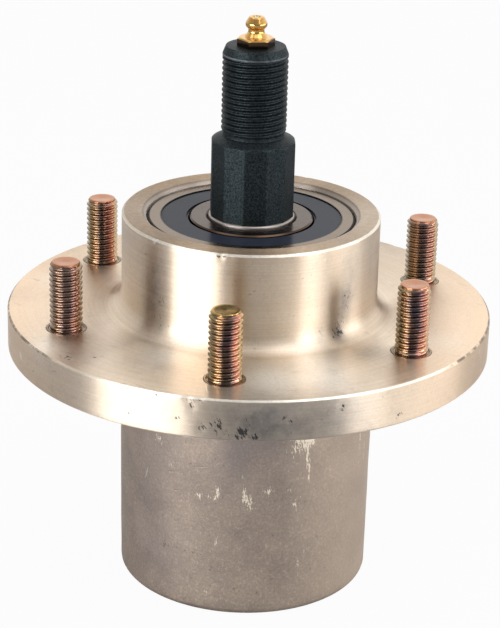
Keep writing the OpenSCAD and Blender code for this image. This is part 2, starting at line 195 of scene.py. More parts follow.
# Corners of the section, as radius, height, rounding and the spacing of the points after it
housing_corners = [
    (mouth_r, 0, 0.15, 3.0), (rim_r, 0, rim_round, 2.4), (barrel_r, flange_low, barrel_fillet, 3.0),
    (flange_r - flange_chamfer, flange_low, 0.12, 0.5),
    (flange_r, flange_low + flange_chamfer, 0.12, 0.75),
    (flange_r, flange_high - flange_chamfer, 0.12, 0.5),
    (flange_r - flange_chamfer, flange_high, 0.12, 1.5), (hub_r, flange_high, hub_fillet, 1.3),
    (hub_r, hub_top - hub_chamfer, 0.12, 0.4), (hub_r - hub_chamfer, hub_top, 0.12, 0.8),
    (mouth_r, hub_top, 0.1, 0.5), (seat_r, hub_top - mouth_chamfer, 0.1, 9.0),
    (seat_r, upper_seat_low, 0, 2.0), (core_r, upper_seat_low, 0.2, 16.0),
    (core_r, lower_seat_high, 0.2, 2.0), (seat_r, lower_seat_high, 0, 9.0),
    (seat_r, groove_high, 0, 1.0), (groove_r, groove_high, 0, 1.2), (groove_r, groove_low, 0, 1.0),
    (seat_r, groove_low, 0, 4.0), (seat_r, mouth_chamfer, 0.1, 0.6),
]
# Knocks that dent the metal: angle, radius, height, reach and how deep beside the others
knocks = [
    (-129.5, 37.9, 113.7, 0.8, 0.30), (-111.5, 37.9, 113.7, 1.0, 0.22), (-96, 37.9, 113.8, 1.1, 0.35),
    (-92, 37.9, 113.7, 0.6, 0.25), (-69.3, 37.9, 113.8, 0.6, 0.2), (-20, 37.9, 113.7, 0.9, 0.3),
    (70, 37.9, 113.7, 1.1, 0.3), (-112.5, 71.7, 84.8, 0.9, 0.30), (-110, 71.7, 84.9, 0.8, 0.3),
    (-103.5, 71.7, 84.8, 0.9, 0.28), (-96.5, 71.7, 84.6, 1.2, 0.32), (-94, 71.7, 84.8, 0.8, 0.35),
    (-95.6, 71.8, 82.2, 1.0, 0.22), (-98.9, 71.8, 78.4, 0.9, 0.2), (-110.5, 71.8, 76.5, 0.9, 0.2),
    (-93.5, 71.8, 76.2, 1.0, 0.25), (-89.6, 71.8, 76.4, 1.0, 0.25), (-84.6, 71.8, 74.2, 1.4, 0.3),
    (-74.3, 71.8, 78.5, 0.8, 0.2), (-62.7, 71.8, 81.6, 1.0, 0.2), (-47.7, 71.8, 76.2, 0.9, 0.25),
    (-143, 71.7, 84.8, 1.1, 0.25), (-30, 71.7, 84.8, 1.2, 0.3), (20, 71.7, 73.6, 1.3, 0.3),
    (55, 71.7, 84.8, 1.0, 0.3), (110, 71.7, 84.8, 1.4, 0.3), (160, 71.7, 73.8, 1.2, 0.3),
    (-121, 38.1, 18.8, 1.2, 0.2), (-96, 38.1, 24.6, 1.0, 0.18), (-50, 38.1, 32.5, 0.9, 0.15),
]


def section_points(corners, closed):
    """Points along a section: each corner becomes an arc that touches both sides at radius times
    cotangent of half the corner's angle from it, and the straights between are divided evenly.
    An arc of under a millimetre has four points, and a larger one nine."""
    spots = np.array([corner[:2] for corner in corners], float)
    parts = []
    count = len(spots)
    for i, (_, _, rounding, spacing) in enumerate(corners):
        here, ahead, behind = spots[i], spots[(i + 1) % count], spots[i - 1]
        inner = closed or 0 < i < count - 1
        arc = here[None]
        if inner and rounding:
            back, on = behind - here, ahead - here
            back, on = back / np.linalg.norm(back), on / np.linalg.norm(on)
            half = math.acos(float(np.clip(back @ on, -1, 1))) / 2
            centre = here + (back + on) / np.linalg.norm(back + on) * rounding / math.sin(half)
            first = here + back * rounding / math.tan(half) - centre
            last = here + on * rounding / math.tan(half) - centre
            start = math.atan2(first[1], first[0])
            sweep = (math.atan2(last[1], last[0]) - start + math.pi) % (2 * math.pi) - math.pi
            steps = 4 if rounding < 1 else 9
            turn = start + sweep * np.linspace(0, 1, steps)
            arc = centre + rounding * np.stack([np.cos(turn), np.sin(turn)], -1)
        parts.append((arc, spacing))
    run = []
    for i, (arc, spacing) in enumerate(parts):
        run.append(arc)
        if not closed and i == count - 1:
            break
        gap = parts[(i + 1) % count][0][0] - arc[-1]
        between = max(int(np.linalg.norm(gap) / spacing), 1)
        run.append(arc[-1] + gap * (np.arange(1, between) / between)[:, None])
    return np.vstack(run)


def skin(name, x, y, z, closed, crease=sharp_over):
    """Mesh of a grid of points, rows along a section and columns round the axis, in millimetres.
    The last row joins the first where closed; otherwise a fan of triangles shuts each end.
    Edges that turn by more than the crease, in degrees, are shaded sharp."""
    x, y, z = (np.atleast_3d(np.asarray(a, float).T).T for a in (x, y, z))
    copies, rows, across = x.shape
    points = np.stack([x, y, z], -1).reshape(copies, -1, 3)
    column = np.arange(across)
    beside = np.roll(column, -1)
    below = np.arange(rows if closed else rows - 1)[:, None] * across
    above = (below + across) % (rows * across)
    quads = np.stack([below + column, below + beside, above + beside, above + column], -1)
    quads = quads.reshape(-1, 4)
    last = (rows - 1) * across
    fans = np.zeros((0, 3), int)
    if not closed:
        ends = np.stack([points[:, :across].mean(1), points[:, last:].mean(1)], 1)
        points = np.concatenate([points, ends], 1)
        low = np.full(across, rows * across)
        fans = np.concatenate([
            np.stack([low, beside, column], -1),
            np.stack([last + column, last + beside, low + 1], -1),
        ])
    step = points.shape[1] * np.arange(copies)[:, None, None]
    faces = (quads + step).reshape(-1, 4).tolist() + (fans + step).reshape(-1, 3).tolist()
    mesh = bpy.data.meshes.new(name)
    mesh.from_pydata(points.reshape(-1, 3) * MM, [], faces)
    mesh.shade_smooth()
    mesh.set_sharp_from_angle(angle=math.radians(crease))
    piece = bpy.data.objects.new(name, mesh)
    bpy.context.scene.collection.objects.link(piece)
    return piece


def stands_for(piece, body, slot, *nodes):
    """The piece moves with the body and replaces the CAD nodes, which are hidden. The slot is not used."""
    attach(piece, body)
    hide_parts(*nodes)


def places_of(items, field):
    """Places of a mesh's vertices or faces in millimetres, one row each."""
    found = np.empty(len(items) * 3, np.float32)
    items.foreach_get(field, found)
    return found.reshape(-1, 3) / MM


def closeness(points, angle, radius, height, around, along):
    """One at a spot on the part, falling off round it and up it: e to the minus square of the
    distance over the given width, for the arc and for the section in turn."""
    reach = np.hypot(points[..., 0], points[..., 1])
    turn = np.arctan2(points[..., 1], points[..., 0]) - math.radians(angle)
    arc = reach * ((turn + np.pi) % (2 * np.pi) - np.pi)
    off = (reach - radius) ** 2 + (points[..., 2] - height) ** 2
    return np.exp(-((arc / around) ** 2) - off / along**2)


outline = section_points(housing_corners, closed=True)
outward = np.roll(outline, 1, 0) - np.roll(outline, -1, 0)
outward = np.stack([-outward[:, 1], outward[:, 0]], -1) / np.linalg.norm(outward, axis=1)[:, None]
round_angle = 2 * np.pi * np.arange(columns) / columns
profile_r, profile_z = outline[:, :1], outline[:, 1:]
flat_grid = np.stack(
    np.broadcast_arrays(profile_r * np.cos(round_angle), profile_r * np.sin(round_angle), profile_z), -1
)
knock_depth = 0.4
sunk = sum(
    knock_depth * depth * closeness(flat_grid, angle, radius, height, reach, reach)
    for angle, radius, height, reach, depth in knocks
)
# Waves left by the mould on the cast wall: depth, number round it, millimetres up to a radian, start
mould_waves = ((0.035, 3, 7, 0), (0.025, 7, -4, 1), (0.015, 17, 2.3, 2))
ripple = sum(
    depth * np.sin(number * round_angle + profile_z / rise + start)
    for depth, number, rise, start in mould_waves
)
as_cast = (profile_r > rim_r - 0.9) & (profile_r < barrel_r + 2.75) & (profile_z > 1.5) & (profile_z < 72)
push = as_cast * ripple - sunk
shell_r = profile_r + outward[:, :1] * push
shell_z = profile_z + outward[:, 1:] * push
housing = skin(
    "housing_casting", shell_r * np.cos(round_angle), shell_r * np.sin(round_angle), shell_z, closed=True
)

# Stud holes: a drill for each hole, taken out of the flange and then thrown away. It widens at the
# top for the hole's chamfer and stands past both faces.
drill_columns, hole_chamfer, drill_over, drill_under = 72, 0.12, 0.13, 1
drill_turn = 2 * np.pi * np.arange(drill_columns) / drill_columns
drill_r = np.array([stud_hole_r, stud_hole_r, stud_hole_r + hole_chamfer + drill_over])[:, None]
drill_z = np.array([flange_low - drill_under, flange_high - hole_chamfer, flange_high + drill_over])
drill_z = drill_z[:, None]
drill_x = drill_r * np.cos(drill_turn) + stud_circle_r * np.cos(stud_angles)[:, None, None]
drill_y = drill_r * np.sin(drill_turn) + stud_circle_r * np.sin(stud_angles)[:, None, None]
drills = skin("drills", drill_x, drill_y, np.broadcast_to(drill_z, drill_x.shape), closed=False)
bored = housing.modifiers.new("stud_holes", "BOOLEAN")
bored.operation, bored.solver, bored.object = "DIFFERENCE", "EXACT", drills
bpy.context.view_layer.update()
drilled = housing.evaluated_get(bpy.context.evaluated_depsgraph_get())
housing_mesh = bpy.data.meshes.new_from_object(drilled)
housing.modifiers.clear()
housing.data = housing_mesh
housing_mesh.name = "housing_casting"
bpy.data.objects.remove(drills)
housing_mesh.shade_smooth()
housing_mesh.set_sharp_from_angle(angle=math.radians(sharp_over))

# Marks on the surface: angle, radius, height, width round it, width up it and amount. The first
# are dark stains and nicks.
stains = [
    (-96, 38.0, 113.5, 2.2, 0.7, 1.0), (-129.5, 38, 112.6, 0.7, 0.7, 0.8),
    (-42, 38.1, 87.6, 2.4, 1.5, 1.0), (-40.6, 38.1, 92, 2.0, 3.5, 0.55), (-36, 38.1, 98, 2.6, 5.0, 0.45),
    (-52, 38.1, 89, 2.5, 3.0, 0.4), (-126, 38.1, 95, 5.0, 13, 0.35), (-143, 60, 85, 3.0, 6.0, 0.5),
    (-112.5, 71.6, 84.5, 1.4, 1.0, 0.9), (-110, 71.6, 84.8, 1.0, 1.0, 0.9),
    (-103.5, 71.7, 84.6, 1.3, 0.8, 0.9), (-96.5, 71.8, 84.0, 1.3, 0.8, 0.75),
    (-94, 71.8, 84.4, 1.2, 0.8, 0.9), (-95.6, 71.8, 82.2, 1.0, 0.8, 0.9),
    (-98.9, 71.8, 78.4, 0.8, 0.8, 0.8), (-110.5, 71.8, 76.8, 0.8, 1.2, 0.9),
    (-93.5, 71.8, 76.2, 1.7, 1.3, 0.85), (-89.8, 71.8, 77.2, 1.7, 3.0, 0.62),
    (-84.9, 71.8, 75.6, 2.0, 2.0, 1.0), (-81.5, 71.8, 74.3, 2.6, 0.9, 0.8),
    (-75.9, 71.8, 80, 0.8, 0.8, 1.0), (-74.3, 71.8, 78.5, 0.8, 0.8, 1.0),
    (-73.6, 71.8, 76.3, 0.7, 0.9, 0.9), (-62.7, 71.8, 81.6, 1.0, 1.6, 0.9),
    (-47.7, 71.8, 76.2, 1.2, 1.0, 0.9), (-84, 71.8, 80, 8, 5.0, 0.2), (-95.2, 38.1, 37.1, 1.2, 1.0, 0.8),
    (-81, 38.1, 36.8, 1.1, 1.6, 0.7), (-50.3, 38.1, 32.5, 1.1, 1.3, 0.8),
    (-107, 38.1, 18.8, 9.0, 0.9, 0.55), (-121, 38.1, 18.8, 1.5, 1.0, 0.7),
    (-96.1, 38.1, 24.6, 1.0, 0.9, 0.7), (30, 38.1, 40, 3.0, 5.0, 0.6), (95, 38.1, 60, 2.5, 2.0, 0.7),
    (150, 38.1, 30, 4.0, 2.0, 0.6), (60, 71.8, 78, 3.0, 2.0, 0.7), (120, 71.8, 80, 2.0, 1.5, 0.8),
    (175, 71.8, 77, 3.5, 1.6, 0.7), (10, 71.8, 82, 2.0, 1.2, 0.8), (-132, 67.6, 85, 2.6, 1.3, 0.95),
    (-127.7, 61.6, 85, 1.3, 1.0, 0.9), (-175.5, 70.6, 85, 2.5, 0.8, 0.6), (80, 64, 85, 3.0, 1.0, 0.6),
]
# Spots rubbed bright
rubs = [
    (-65, 38.1, 59.5, 3.6, 1.6, 0.85), (-59, 38.1, 57.5, 3.6, 3.0, 1.0),
    (-54, 38.1, 56.5, 2.6, 3.2, 0.9), (-62, 38.1, 52.5, 3.0, 1.4, 0.6),
    (-55.6, 38.1, 51.5, 0.35, 5.5, 1.4), (-54.2, 38.1, 46, 0.35, 4.5, 1.4),
    (-95.5, 38.1, 40, 0.9, 2.6, 1.0), (-98.5, 38.1, 38.6, 1.2, 1.4, 0.7),
    (-104, 38.1, 38.6, 1.6, 0.9, 0.7), (-83.5, 38.1, 39.6, 1.0, 2.8, 1.1),
    (-81, 38.1, 37.4, 0.9, 2.0, 1.0), (-73, 38.1, 40.6, 2.0, 1.0, 0.85),
    (-64, 38.1, 41.5, 1.2, 1.0, 0.8), (-60, 38.1, 36, 1.2, 2.2, 0.8), (-96, 38.1, 24, 0.8, 1.4, 0.8),
    (-125, 38.1, 53, 2.2, 0.9, 0.7), (-118, 38.1, 46, 0.8, 1.4, 0.7), (-58, 38.1, 16, 0.7, 2.4, 0.7),
    (-100, 38.1, 6, 0.6, 1.8, 0.8), (-20, 38.1, 50, 0.5, 9.0, 0.9), (-14, 38.1, 44, 0.4, 7.0, 0.9),
    (-129.5, 37.9, 113.7, 1.0, 0.8, 1.6), (-148.8, 71.8, 79, 1.0, 2.4, 0.9),
    (-111.5, 37.9, 113.8, 2.6, 0.5, 0.9), (-69.3, 37.9, 113.8, 0.9, 0.5, 0.9),
    (-88, 38.1, 66, 2.0, 0.8, 0.5), (-120, 38.1, 50, 2.5, 0.6, 0.5), (40, 38.1, 50, 4.0, 0.7, 0.7),
    (120, 38.1, 35, 0.7, 6.0, 0.6), (90, 71.8, 79, 3.0, 1.2, 0.6), (140, 71.8, 76, 2.0, 0.8, 0.7),
    (-15, 71.8, 82, 3.5, 1.0, 0.6),
]
# Dull grey patches: tarnish where hands and oil have dulled the metal, and painted shade in places on the
# rim, hub and flange
tarnish_and_shade = [
    (-80, 71.8, 78, 14, 9.0, 0.75), (-64, 71.8, 78, 9, 9.0, 0.35), (-130, 38.1, 97, 5.0, 16, 0.45),
    (-39, 38.1, 95, 3.4, 7.0, 0.6), (-34, 38.1, 104, 5.0, 13, 0.36), (-19, 38.1, 100, 4.0, 16, 0.12),
    (-128, 38.1, 100, 4.0, 16, 0.1), (-43, 38.1, 88, 3.0, 2.5, 0.6), (-52, 38.1, 89, 2.5, 3.0, 0.4),
    (-143, 60, 85, 4.0, 6.0, 0.25), (-150, 50, 85, 9.0, 7.0, 0.15), (-40, 50, 85, 7.0, 6.0, 0.38),
    (-112, 58, 85, 9.0, 6.0, 0.15), (-120, 38.1, 62, 12, 14.0, 0.25), (-78, 38.1, 60, 11, 13.0, 0.5),
    (-90, 38.1, 50, 5.0, 9.0, 0.25), (-131, 38.1, 38, 11, 26.0, 0.3), (-125, 38.1, 15, 9.0, 7.0, 0.3),
    (20, 38.1, 30, 12, 9.0, 0.4), (100, 38.1, 45, 10, 14.0, 0.4), (165, 38.1, 25, 14, 8.0, 0.35),
    (60, 71.8, 79, 12, 8.0, 0.4), (150, 71.8, 79, 15, 8.0, 0.4), (-175, 71.8, 79, 8, 8.0, 0.3),
    (85, 38.1, 100, 9.0, 12.0, 0.35), (160, 38.1, 95, 6.0, 16, 0.35), (120, 55, 85, 10, 8.0, 0.3),
]
# Painted highlights: lighter patches, most on the flange top in front of the hub, where its lit side and
# the lamps reflect
painted_highlights = [
    (-78, 58, 85, 9.0, 12, 0.85), (-62, 60, 85, 8.0, 10, 0.75), (-60, 46, 85, 6.0, 6.0, 0.6),
    (-113, 48, 85, 7.0, 7.0, 0.6), (-136, 66, 85, 12, 6.0, 0.3), (-140, 68, 85, 6.0, 5.0, 0.25),
    (-20, 60, 85, 8.0, 9.0, 0.25), (95, 58, 85, 9.0, 9.0, 0.5), (-70, 38.1, 50, 6.0, 9.0, 0.2),
    (170, 60, 85, 8.0, 7.0, 0.3),
]
spots = places_of(housing_mesh.vertices, "co")
for layer, marks in (("stain", stains), ("rubbed", rubs), ("tarnish_and_shade", tarnish_and_shade), ("painted_highlights", painted_highlights)):
    amount = sum(share * closeness(spots, *mark) for *mark, share in marks)
    marked = housing_mesh.attributes.new(layer, "FLOAT", "POINT")
    marked.data.foreach_set("value", np.clip(amount, 0, 1).astype(np.float32))


def effect(name, takes, gives):
    """An empty shader node group: Place takes Object coordinates, the other sockets are numbers.
    Gives the group, what goes into it and what comes out of it."""
    group = bpy.data.node_groups.new(name, "ShaderNodeTree")
    group.interface.new_socket("Place", in_out="INPUT", socket_type="NodeSocketVector")
    for socket, value in takes.items():
        made = group.interface.new_socket(socket, in_out="INPUT", socket_type="NodeSocketFloat")
        made.default_value = value
    for socket in gives:
        group.interface.new_socket(socket, in_out="OUTPUT", socket_type="NodeSocketFloat")
    start = group.nodes.new("NodeGroupInput")
    end = group.nodes.new("NodeGroupOutput")
    return group, start.outputs, end.inputs


def scaled(tree, vector, factor):
    """A vector times a number or a number socket."""
    return add(tree, "VectorMath", {0: vector, "Scale": factor}, operation="SCALE").outputs[0]


def noise(tree, place, scale, detail=3.0, rough=0.6):
    """Noise texture's value, at so many waves to the metre."""
    return add(
        tree, "TexNoise", {"Vector": place, "Scale": scale, "Detail": detail, "Roughness": rough}
    ).outputs[0]


def ramp(tree, value, low, high, floor_value=0.0, top_value=1.0):
    """The value stretched so that low gives floor_value and high gives top_value, and clamped."""
    inputs = {"Value": value, 1: low, 2: high, 3: floor_value, 4: top_value}
    return add(tree, "MapRange", inputs, clamp=True).outputs[0]


def blend(tree, share, first, second):
    """Colour that goes from the first to the second as share goes from 0 to 1. Either is red, green
    and blue, or another node's output."""
    first, second = ((*end, 1) if isinstance(end, tuple) else end for end in (first, second))
    return add(tree, "Mix", {0: share, 6: first, 7: second}, data_type="RGBA").outputs[2]


def layered(tree, colour, layers):
    """Colour under layers, from the lowest up: each lays its tone over the rest by its own share."""
    for share, tone in layers:
        colour = blend(tree, share, colour, tone)
    return colour


def split(tree, vector):
    """The X, Y and Z of a vector."""
    return add(tree, "SeparateXYZ", {0: vector}).outputs


def placed(tree, group, place, **values):
    """Output of an effect placed in a material with its own values."""
    return add(tree, "Group", {"Place": place, **values}, node_tree=group).outputs[0]


def painted(tree, layer):
    """How much of a painted layer lies here, from 0 to 1."""
    return add(tree, "Attribute", attribute_name=layer).outputs["Fac"]


def bumped(tree, shader, height, depth, strength=1.0):
    """Feeds a height in parts of depth, in metres, to the shader's normal through a Bump node."""
    bump = add(tree, "Bump", {"Height": height, "Distance": depth, "Strength": strength})
    tree.links.new(bump.outputs[0], shader.inputs["Normal"])


def new_finish(name, metallic, roughness):
    """A material with its tree, its Principled shader and its Object coordinates."""
    material = bpy.data.materials.new(name)
    material.use_nodes = True
    shader = material.node_tree.nodes["Principled BSDF"]
    shader.inputs["Metallic"].default_value = metallic
    shader.inputs["Roughness"].default_value = roughness
    place = add(material.node_tree, "TexCoord").outputs["Object"]
    return material, material.node_tree, shader, place


def off_axis(tree, place):
    """Distance from the shaft's axis: the length of the place with its height taken out."""
    level = add(tree, "VectorMath", {0: place, 1: (1, 1, 0)}, operation="MULTIPLY").outputs[0]
    return add(tree, "VectorMath", {0: level}, operation="LENGTH").outputs["Value"]


def broken_marks(tree, place, layer, lean, stroke_scale=1300.0):
    """A painted layer broken into short strokes by a noise that is stretched along a leaning line."""
    leaning = add(tree, "VectorRotate", {0: place, "Angle": lean, "Axis": (0, 1, 0)}).outputs[0]
    upright = add(tree, "VectorMath", {0: leaning, 1: (1, 1, 0.3)}, operation="MULTIPLY").outputs[0]
    stroke = noise(tree, upright, stroke_scale, 3.0, 0.7)
    return ramp(tree, maths(tree, "MULTIPLY_ADD", painted(tree, layer), 0.32, stroke), 0.71, 0.77)


def edge_line(tree, reach, height, edge_r, edge_z):
    """One on the chamfer that lies outside a radius and above a height, both in millimetres."""
    outside = ramp(tree, reach, (edge_r - 0.1) * MM, (edge_r + 0.02) * MM)
    above = ramp(tree, height, (edge_z - 0.1) * MM, (edge_z + 0.05) * MM)
    return times(tree, outside, above)


# Marks of the lathe tool: noise that changes quickly with radius and height, slowly round the axis
lathe_lines, given, made = effect("lathe_lines", {"Pitch": 1800.0, "Drift": 14.0}, ["Lines"])
height = split(lathe_lines, given["Place"])["Z"]
along = add(lathe_lines, "CombineXYZ", {0: off_axis(lathe_lines, given["Place"]), 1: height}).outputs[0]
along = scaled(lathe_lines, along, given["Pitch"])
drifting = scaled(lathe_lines, given["Place"], given["Drift"])
along = add(lathe_lines, "VectorMath", {0: along, 1: drifting}, operation="ADD").outputs[0]
lathe_lines.links.new(noise(lathe_lines, along, 1.0, 3.0, 0.7), made["Lines"])

# Scratches: long thin cells of a Voronoi pattern, of which only a few are kept
scratches, given, made = effect("scratches", {"Turn": 0.4, "Tilt": 0.3, "Kept": 0.03}, ["Scratch"])
turned = given["Place"]
for angle, axis in (("Turn", (0, 0, 1)), ("Tilt", (0, 1, 0))):
    turned = add(scratches, "VectorRotate", {0: turned, "Angle": given[angle], "Axis": axis}).outputs[0]
thin = add(scratches, "VectorMath", {0: turned, 1: (95, 1500, 1500)}, operation="MULTIPLY").outputs[0]
cells = add(scratches, "TexVoronoi", {"Vector": thin, "Scale": 1.0}).outputs
chance = add(scratches, "SeparateColor", {0: cells["Color"]}).outputs[0]
picked = maths(scratches, "LESS_THAN", chance, given["Kept"])
narrow = ramp(scratches, cells["Distance"], 0.5, 0.2)
scratches.links.new(times(scratches, picked, narrow), made["Scratch"])

# Turned aluminium: bright, faintly brushed round the axis, stained and scuffed in places, with painted
# highlights and shade
turned_aluminium, tree, shader, place = new_finish("turned_aluminium", 1.0, 0.4)
parts = split(tree, place)
across, height = parts["X"], parts["Z"]
reach = off_axis(tree, place)
lines = placed(tree, lathe_lines, place)
cloud = noise(tree, place, 60.0, 4.0)
blotches = noise(tree, place, 230.0, 5.0, 0.7)
fine = ramp(tree, noise(tree, place, 1500.0, 3.0, 0.7), 0.35, 0.65)
mottled = ramp(tree, noise(tree, place, 900.0, 4.0, 0.7), 0.35, 0.65)
scratch = placed(tree, scratches, place, Turn=0.5, Tilt=0.1, Kept=0.012)
crossed = placed(tree, scratches, place, Turn=2.2, Tilt=0.9, Kept=0.01)
stain = broken_marks(tree, place, "stain", 0.5, 1500.0)
rubbed = broken_marks(tree, place, "rubbed", 0.0)
streaks = ramp(tree, lines, 0.35, 0.65, 0.0, 0.4)
# Painted light: a warmer tint to the far left and right, where the side lamps light and reflect
painted_warm_side_light = ramp(tree, maths(tree, "ABSOLUTE", across), 40 * MM, 70 * MM, 0.0, 0.5)
smudge = ramp(tree, blotches, 0.56, 0.72)
hub_face = ramp(tree, height, (hub_top - 0.7) * MM, (hub_top - 0.3) * MM)
# The hub's top face is browner all over, a stain, and darker still at the left: painted shade
painted_side_shading_and_tone = ramp(tree, across, -hub_r * MM, hub_r * MM, 0.82, 0.52)
painted_side_shading_and_tone = times(tree, hub_face, maths(tree, "MULTIPLY_ADD", mottled, 0.2, painted_side_shading_and_tone))
# Painted shade inside the bore and on its mouth chamfer
bore_shade = maths(tree, "LESS_THAN", reach, (mouth_r - 0.08) * MM)
tarnish_and_shade_share = times(tree, painted(tree, "tarnish_and_shade"), ramp(tree, blotches, 0.3, 0.6, 0.55, 1.0))
# The chamfers get a painted highlight in front, like metal worn bright, and are darker and broken at the
# far left and right
flange_edge = edge_line(tree, reach, height, flange_r - flange_chamfer, flange_high - flange_chamfer)
hub_edge = edge_line(tree, reach, height, hub_r - hub_chamfer, hub_top - hub_chamfer)
edges = maths(tree, "MAXIMUM", flange_edge, hub_edge)
far_left, far_right = ramp(tree, across, -46 * MM, -54 * MM), ramp(tree, across, 58 * MM, 63 * MM)
darker_edge_ends = times(tree, edges, maths(tree, "MAXIMUM", far_left, far_right))
darker_edge_ends = times(tree, darker_edge_ends, ramp(tree, blotches, 0.38, 0.55, 0.0, 0.8))
painted_edge_highlight = times(tree, edges, ramp(tree, across, -50 * MM, -22 * MM, 0.1, 0.8))
painted_edge_highlight = times(tree, painted_edge_highlight, ramp(tree, across, 58 * MM, 64 * MM, 1.0, 0.1))
painted_edge_highlight = times(tree, painted_edge_highlight, ramp(tree, fine, 0.0, 1.0, 1.0, 0.7))
bare = blend(tree, cloud, (0.61, 0.485, 0.365), (0.77, 0.64, 0.50))
colour = layered(tree, bare, (
    (streaks, (0.85, 0.77, 0.66)),
    (painted_warm_side_light, (0.92, 0.64, 0.40)),
    (painted(tree, "painted_highlights"), (0.97, 0.94, 0.88)),
    (times(tree, fine, 0.22), (0.42, 0.35, 0.28)),
    (times(tree, smudge, 0.22), (0.36, 0.31, 0.27)),
    (times(tree, scratch, 0.5), (0.30, 0.26, 0.23)),
    (painted_side_shading_and_tone, (0.27, 0.19, 0.12)),
    (times(tree, bore_shade, 0.6), (0.15, 0.14, 0.145)),
    (tarnish_and_shade_share, (0.15, 0.145, 0.15)),
    (times(tree, stain, 0.88), (0.06, 0.06, 0.07)),
    (rubbed, (0.93, 0.91, 0.88)),
    (painted_edge_highlight, (0.97, 0.93, 0.84)),
    (darker_edge_ends, (0.10, 0.08, 0.07)),
))
tree.links.new(colour, shader.inputs["Base Color"])
sheen = ramp(tree, maths(tree, "MULTIPLY_ADD", lines, 0.5, cloud), 0.4, 1.1, 0.34, 0.48)
sheen = maths(tree, "MULTIPLY_ADD", maths(tree, "MAXIMUM", stain, rubbed), 0.25, sheen)
at_flange = maths(tree, "COMPARE", height, flange_high * MM, 0.3 * MM)
flat_top = times(tree, at_flange, maths(tree, "GREATER_THAN", reach, (hub_r + 3) * MM))
sheen = times(tree, sheen, maths(tree, "MULTIPLY_ADD", flat_top, -0.15, 1.0))
tree.links.new(sheen, shader.inputs["Roughness"])
shader.inputs["Anisotropic"].default_value = 0.94
shader.inputs["Anisotropic Rotation"].default_value = 0.25
brushed_round = add(tree, "Tangent", direction_type="RADIAL", axis="Z").outputs[0]
tree.links.new(brushed_round, shader.inputs["Tangent"])
cuts = maths(tree, "SUBTRACT", times(tree, lines, 0.5), crossed)
bumped(tree, shader, cuts, 0.02 * MM, 0.8)

# Cast aluminium: dull grey-brown with a fine grain, cloudy patches and bright scuffs, and painted light on
# its right side
cast_aluminium, tree, shader, place = new_finish("cast_aluminium", 0.9, 0.5)
patch = noise(tree, place, 75.0, 5.0, 0.65)
patchy = ramp(tree, patch, 0.3, 0.7)
grain = noise(tree, place, 1500.0, 4.0, 0.75)
grainy = ramp(tree, grain, 0.38, 0.62)
speck = ramp(tree, noise(tree, place, 620.0, 2.0), 0.66, 0.76)
pale = ramp(tree, noise(tree, place, 1100.0, 5.0, 0.85), 0.52, 0.68)
scratch = placed(tree, scratches, place, Turn=1.1, Tilt=1.25, Kept=0.006)
crossed = placed(tree, scratches, place, Turn=0.3, Tilt=0.2, Kept=0.008)
stain = broken_marks(tree, place, "stain", 0.5, 1900.0)
rubbed = broken_marks(tree, place, "rubbed", 0.15, 2400.0)
# Painted light: the barrel is lighter on its right side, as if lit from the floor there
painted_side_shading_and_tone = ramp(tree, split(tree, place)["X"], 0.4 * hub_r * MM, hub_r * MM, 0.0, 0.4)
bare = blend(tree, patchy, (0.335, 0.27, 0.225), (0.455, 0.37, 0.295))
colour = layered(tree, bare, (
    (times(tree, grainy, 0.5), (0.23, 0.19, 0.17)),
    (times(tree, pale, 0.5), (0.70, 0.56, 0.42)),
    (times(tree, speck, 0.5), (0.13, 0.11, 0.10)),
    (painted(tree, "tarnish_and_shade"), (0.19, 0.17, 0.18)),
    (painted_side_shading_and_tone, (0.82, 0.67, 0.52)),
    (times(tree, scratch, 0.6), (0.6, 0.56, 0.52)),
    (times(tree, stain, 0.8), (0.08, 0.07, 0.065)),
    (times(tree, rubbed, 0.8), (0.96, 0.86, 0.70)),
))
tree.links.new(colour, shader.inputs["Base Color"])
tree.links.new(ramp(tree, patch, 0.3, 0.7, 0.5, 0.62), shader.inputs["Roughness"])
relief = maths(tree, "MULTIPLY_ADD", patch, 1.5, grain)
relief = maths(tree, "SUBTRACT", relief, times(tree, crossed, 0.8))
bumped(tree, shader, relief, 0.06 * MM, 0.7)

housing_mesh.materials.clear()
housing_mesh.materials.append(turned_aluminium)
housing_mesh.materials.append(cast_aluminium)
face_middle = places_of(housing_mesh.polygons, "center")
cast_below, cast_outside = 70.5, 35
on_barrel = (face_middle[:, 2] < cast_below) & (np.hypot(*face_middle[:, :2].T) > cast_outside)
housing_mesh.polygons.foreach_set("material_index", on_barrel.astype(np.int32))
stands_for(housing, "housing", "housing_aluminium", "housing")


# Studs: six steel screws pressed in from below, each with a ribbed collar in the flange, a rolled
# 3/8-16 thread and a chamfered end. Yellow zinc plate, which turns pink, brown and blue-grey.
stud_r, stud_pitch, stud_top, stud_chamfer = 4.7625, 1.5875, 105.4, 1.3
stud_depth, stud_thread_low = 0.5, 85.2
head_r, head_low = 7.5, 69.8
collar_r, collar_top, moat_r, moat_floor = 5.84, 85.05, 5.05, 84.75
rib_depth, rib_low = 0.12, 73.2
stud_columns = 72
stud_corners = [
    (0.01, head_low, 0, 9.0), (head_r, head_low, 0.5, 1.5), (head_r, flange_low, 0.1, 2.0),
    (collar_r, flange_low, 0, 4.0), (collar_r, collar_top, 0.1, 0.15),
    (5.3, collar_top + 0.05, 0.08, 0.15), (moat_r, moat_floor, 0.1, 0.15), (4.5, moat_floor, 0.1, 0.15),
    (stud_r, 85.4, 0.1, stud_pitch / 12), (stud_r, stud_top - stud_chamfer, 0, 0.13),
    (3.91, stud_top, 0.12, 0.5), (3.2, stud_top, 0.1, 0.5), (0.01, stud_top - 0.25, 0, 1.0),
]


